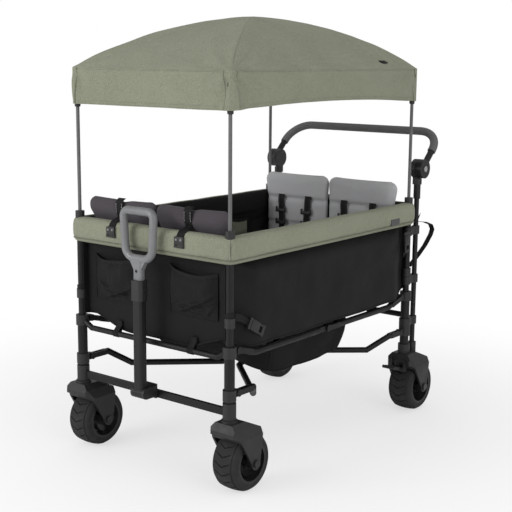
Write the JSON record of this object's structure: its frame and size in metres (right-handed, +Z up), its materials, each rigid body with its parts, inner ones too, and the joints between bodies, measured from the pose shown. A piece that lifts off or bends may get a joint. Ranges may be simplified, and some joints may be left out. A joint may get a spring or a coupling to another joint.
{
  "type": "folding stroller wagon",
  "caption": "Folding stroller wagon: padded fabric tub on a steel frame with wide wheels, a four-panel canopy, a push handle behind and a telescopic pull handle in front.",
  "frame": {"origin": "centre of the bounding box on the ground", "axes": "+Z up, +Y towards the push handle, +X to the left of the person pushing"},
  "size_m": [0.67, 1.1198, 1.2496],
  "materials": {
    "frame_steel": "satin black powder coat",
    "pole_steel": "satin dark grey paint",
    "black_plastic": "fine matt mould texture",
    "grey_plastic": "fine matt mould texture",
    "sage_fabric": "heathered plain weave",
    "black_fabric": "plain weave",
    "charcoal_fabric": "heathered plain weave",
    "grey_fabric": "heathered plain weave",
    "foam": "matt closed-cell foam",
    "tyre": "matt rubber",
    "axle_steel": "zinc plate"
  },
  "bodies": {
    "rear_frame": {"rear_legs": "frame_steel", "rear_leg_fittings": "black_plastic", "rear_crossbars": "frame_steel", "rear_housings": "black_plastic", "rear_axles": "axle_steel", "rear_poles": "pole_steel", "rear_canopy_caps": "black_plastic", "post_guides": "black_plastic", "tub_rear_wall": "black_fabric", "rim_rear": "sage_fabric", "rear_bag": "black_fabric", "rear_seat_backs": "grey_fabric", "canopy": "sage_fabric", "hip_rods": "pole_steel", "tub_left_wall": "black_fabric", "tub_right_wall": "black_fabric", "rim_left": "sage_fabric", "rim_right": "sage_fabric"},
    "front_frame": {"front_legs": "frame_steel", "front_leg_fittings": "black_plastic", "front_crossbars": "frame_steel", "front_poles": "pole_steel", "front_canopy_caps": "black_plastic", "tub_front_wall": "black_fabric", "rim_front": "sage_fabric", "front_seat_backs": "charcoal_fabric", "front_pockets": "black_fabric", "pull_bracket": "black_plastic"},
    "rear_floor": {"rear_floor_frame": "frame_steel", "rear_floor_board": "black_plastic", "rear_seat_cushion": "grey_fabric"},
    "front_floor": {"front_floor_frame": "frame_steel", "front_floor_board": "black_plastic", "front_seat_cushion": "charcoal_fabric"},
    "rear_brace": {"rear_braces": "frame_steel"},
    "front_brace": {"front_braces": "frame_steel"},
    "hub": {"base_hub": "black_plastic", "basket": "black_fabric"},
    "handle_posts": {"handle_risers": "frame_steel", "joint_hubs": "black_plastic"},
    "push_handle": {"push_bar": "frame_steel", "push_grip": "foam"},
    "pull_handle": {"pull_tube": "black_plastic", "pull_collar": "black_plastic"},
    "pull_grip": {"pull_grip": "grey_plastic"},
    "pull_button": {"pull_button": "grey_plastic"},
    "caster_left": {"caster_left": "black_plastic"},
    "front_wheel_left": {"front_tyre_left": "tyre", "front_rim_left": "black_plastic"},
    "rear_wheel_left": {"rear_tyre_left": "tyre", "rear_rim_left": "black_plastic"},
    "brake_left": {"brake_pedal_left": "grey_plastic"},
    "joint_button_left": {"joint_button_left": "grey_plastic"},
    "caster_right": {"caster_right": "black_plastic"},
    "front_wheel_right": {"front_tyre_right": "tyre", "front_rim_right": "black_plastic"},
    "rear_wheel_right": {"rear_tyre_right": "tyre", "rear_rim_right": "black_plastic"},
    "brake_right": {"brake_pedal_right": "grey_plastic"},
    "joint_button_right": {"joint_button_right": "grey_plastic"}
  },
  "joints": [
    {"name": "floor_fold", "type": "hinge", "parent": "rear_frame", "child": "rear_floor", "pos_m": [0, 0.35117, 0.385], "axis": [-1, 0, 0], "range_deg": [0, 75], "deforming": ["canopy", "hip_rods", "tub_left_wall", "tub_right_wall", "rim_left", "rim_right", "basket", "rear_seat_cushion", "front_seat_cushion", "rear_seat_backs", "front_seat_backs"]},
    {"name": "mid_hinge", "type": "hinge", "parent": "rear_floor", "child": "front_floor", "pos_m": [0, -0.05683, 0.365], "axis": [-1, 0, 0], "range_deg": [-150, 0]},
    {"name": "front_hinge", "type": "hinge", "parent": "front_floor", "child": "front_frame", "pos_m": [0, -0.46483, 0.385], "axis": [-1, 0, 0], "range_deg": [0, 75]},
    {"name": "rear_brace_hinge", "type": "hinge", "parent": "rear_frame", "child": "rear_brace", "pos_m": [0, 0.35117, 0.27], "axis": [-1, 0, 0], "range_deg": [0, 75]},
    {"name": "hub_hinge", "type": "hinge", "parent": "rear_brace", "child": "hub", "pos_m": [0, -0.05683, 0.25], "axis": [-1, 0, 0], "range_deg": [-75, 0]},
    {"name": "front_brace_hinge", "type": "hinge", "parent": "front_frame", "child": "front_brace", "pos_m": [0, -0.46483, 0.27], "axis": [1, 0, 0], "range_deg": [0, 75]},
    {"name": "swivel_left", "type": "hinge", "parent": "front_frame", "child": "caster_left", "pos_m": [0.277, -0.49683, 0.2], "axis": [0, 0, 1], "continuous": true},
    {"name": "front_wheel_spin_left", "type": "hinge", "parent": "caster_left", "child": "front_wheel_left", "pos_m": [0.277, -0.44883, 0.081], "axis": [1, 0, 0], "continuous": true},
    {"name": "rear_wheel_spin_left", "type": "hinge", "parent": "rear_frame", "child": "rear_wheel_left", "pos_m": [0.277, 0.43117, 0.081], "axis": [1, 0, 0], "continuous": true},
    {"name": "brake_press_left", "type": "hinge", "parent": "rear_frame", "child": "brake_left", "pos_m": [0.277, 0.35417, 0.15], "axis": [1, 0, 0], "range_deg": [0, 25]},
    {"name": "swivel_right", "type": "hinge", "parent": "front_frame", "child": "caster_right", "pos_m": [-0.277, -0.49683, 0.2], "axis": [0, 0, 1], "continuous": true},
    {"name": "front_wheel_spin_right", "type": "hinge", "parent": "caster_right", "child": "front_wheel_right", "pos_m": [-0.277, -0.44883, 0.081], "axis": [1, 0, 0], "continuous": true},
    {"name": "rear_wheel_spin_right", "type": "hinge", "parent": "rear_frame", "child": "rear_wheel_right", "pos_m": [-0.277, 0.43117, 0.081], "axis": [1, 0, 0], "continuous": true},
    {"name": "brake_press_right", "type": "hinge", "parent": "rear_frame", "child": "brake_right", "pos_m": [-0.277, 0.35417, 0.15], "axis": [1, 0, 0], "range_deg": [0, 25]},
    {"name": "handle_height", "type": "slide", "parent": "rear_frame", "child": "handle_posts", "axis": [0, 0, 1], "range_m": [0, 0.1]},
    {"name": "handle_tilt", "type": "hinge", "parent": "handle_posts", "child": "push_handle", "pos_m": [0, 0.43317, 0.79], "axis": [1, 0, 0], "range_deg": [-70, 50]},
    {"name": "button_left", "type": "slide", "parent": "push_handle", "child": "joint_button_left", "axis": [-1, 0, 0], "range_m": [0, 0.002], "stiffness_N_per_m": 800},
    {"name": "button_right", "type": "slide", "parent": "push_handle", "child": "joint_button_right", "axis": [1, 0, 0], "range_m": [0, 0.002], "stiffness_N_per_m": 800},
    {"name": "pull_tilt", "type": "hinge", "parent": "front_frame", "child": "pull_handle", "pos_m": [0, -0.54283, 0.232], "axis": [1, 0, 0], "range_deg": [0, 75]},
    {"name": "pull_slide", "type": "slide", "parent": "pull_handle", "child": "pull_grip", "axis": [0, 0, 1], "range_m": [0, 0.18]},
    {"name": "pull_press", "type": "slide", "parent": "pull_handle", "child": "pull_button", "axis": [-1, 0, 0], "range_m": [0, 0.002], "stiffness_N_per_m": 800}
  ],
  "couplings": [
    {"joint": "mid_hinge", "follows": "floor_fold", "ratio": -2},
    {"joint": "front_hinge", "follows": "floor_fold", "ratio": 1},
    {"joint": "rear_brace_hinge", "follows": "floor_fold", "ratio": 1},
    {"joint": "hub_hinge", "follows": "floor_fold", "ratio": -1},
    {"joint": "front_brace_hinge", "follows": "floor_fold", "ratio": 1}
  ]
}
